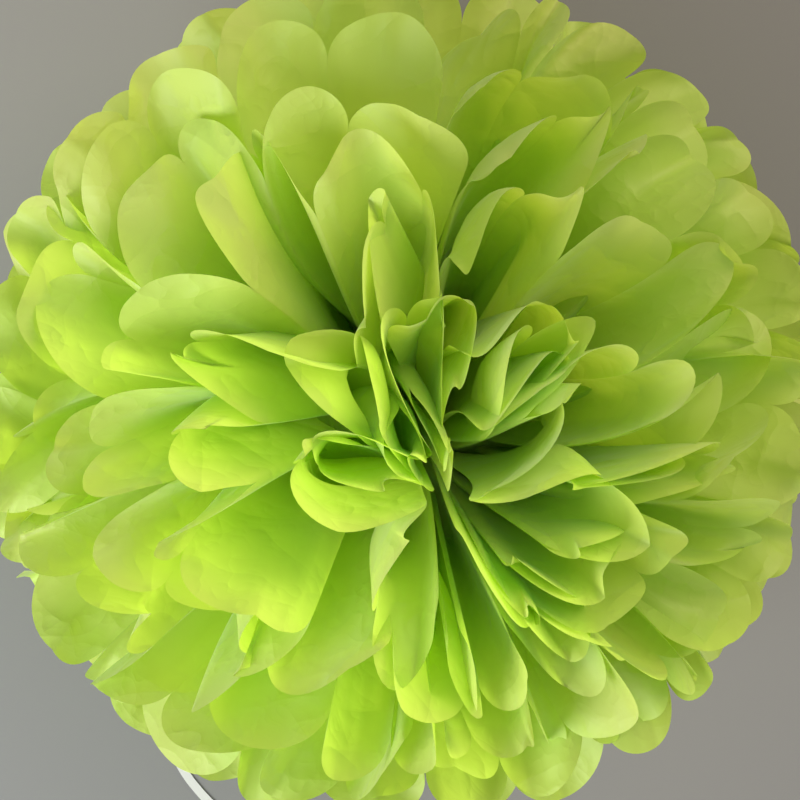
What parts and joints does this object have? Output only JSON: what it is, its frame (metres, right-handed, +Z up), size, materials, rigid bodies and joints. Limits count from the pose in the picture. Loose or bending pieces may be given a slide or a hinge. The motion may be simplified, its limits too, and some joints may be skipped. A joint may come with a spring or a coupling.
{
  "type": "tissue paper pom pom",
  "caption": "Ball of pleated tissue paper sheets tied at the middle and fanned out into ruffled petals, with a hanging loop of satin ribbon.",
  "frame": {"origin": "On the surface that the pom pom lies on, straight below the tie, which is the centre of the ball.", "axes": "+Z is up, along the axis that the sheets are lifted about. X is the length of the pleated strip, so the two fans of each sheet open towards +X and -X and meet in the plane X = 0. The ribbon leaves through that plane towards -Y."},
  "size_m": [0.3011, 0.3971, 0.2821],
  "materials": {
    "tissue": "matte, thin enough to let light through",
    "wire": "bright drawn wire",
    "satin": "satin weave"
  },
  "bodies": {
    "root": {"tissue_sheet_01": "tissue", "tissue_sheet_02": "tissue", "tissue_sheet_03": "tissue", "tissue_sheet_04": "tissue", "tissue_sheet_05": "tissue", "tissue_sheet_06": "tissue", "tissue_sheet_07": "tissue", "tissue_sheet_08": "tissue", "tissue_sheet_09": "tissue", "tissue_sheet_10": "tissue", "tissue_sheet_11": "tissue", "tissue_sheet_12": "tissue", "tie_wire": "wire", "hanging_ribbon": "satin"}
  },
  "joints": []
}
